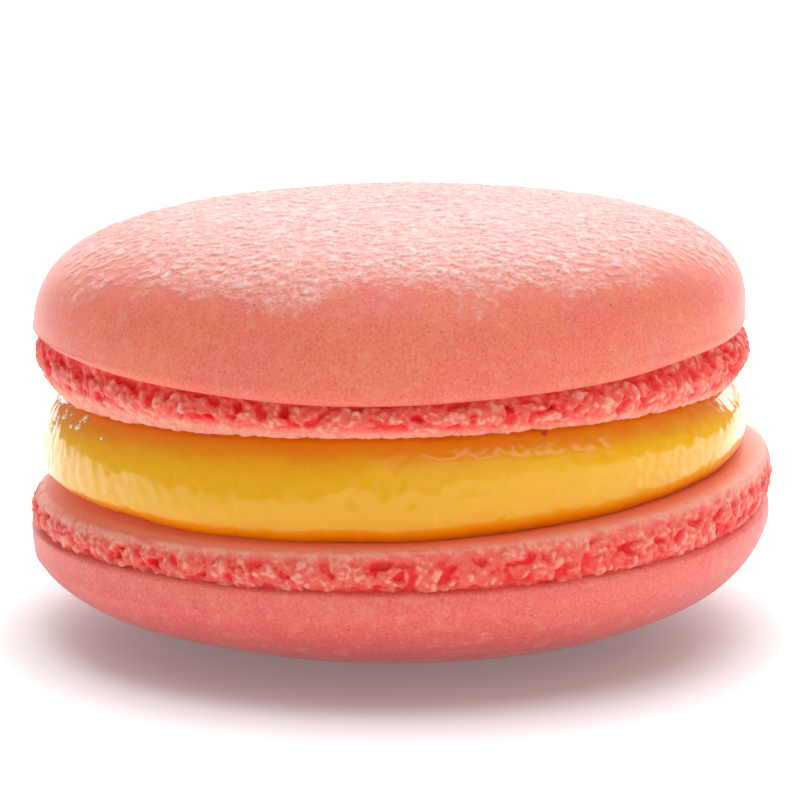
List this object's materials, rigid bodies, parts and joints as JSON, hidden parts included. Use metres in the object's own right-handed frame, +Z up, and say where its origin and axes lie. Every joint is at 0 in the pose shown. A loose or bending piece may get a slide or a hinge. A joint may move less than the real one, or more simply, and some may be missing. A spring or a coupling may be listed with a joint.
{
  "type": "french macaron",
  "caption": "Round almond sandwich biscuit: two smooth domed shells with crumbly ruffled feet and a soft fruit curd layer bulging between them.",
  "frame": {"origin": "on the table, under the middle of the macaron's outline seen from above", "axes": "+Z up through the stack of shell, filling and shell; -Y towards the viewer of the picture; +X to the viewer's right"},
  "size_m": [0.0464, 0.046, 0.0265],
  "materials": {
    "shell": "matte baked almond meringue, coral pink, with a crumbly foot",
    "curd": "glossy soft fruit curd, golden yellow"
  },
  "bodies": {
    "root": {"lower_shell": "shell", "filling": "curd", "upper_shell": "shell"}
  },
  "joints": []
}
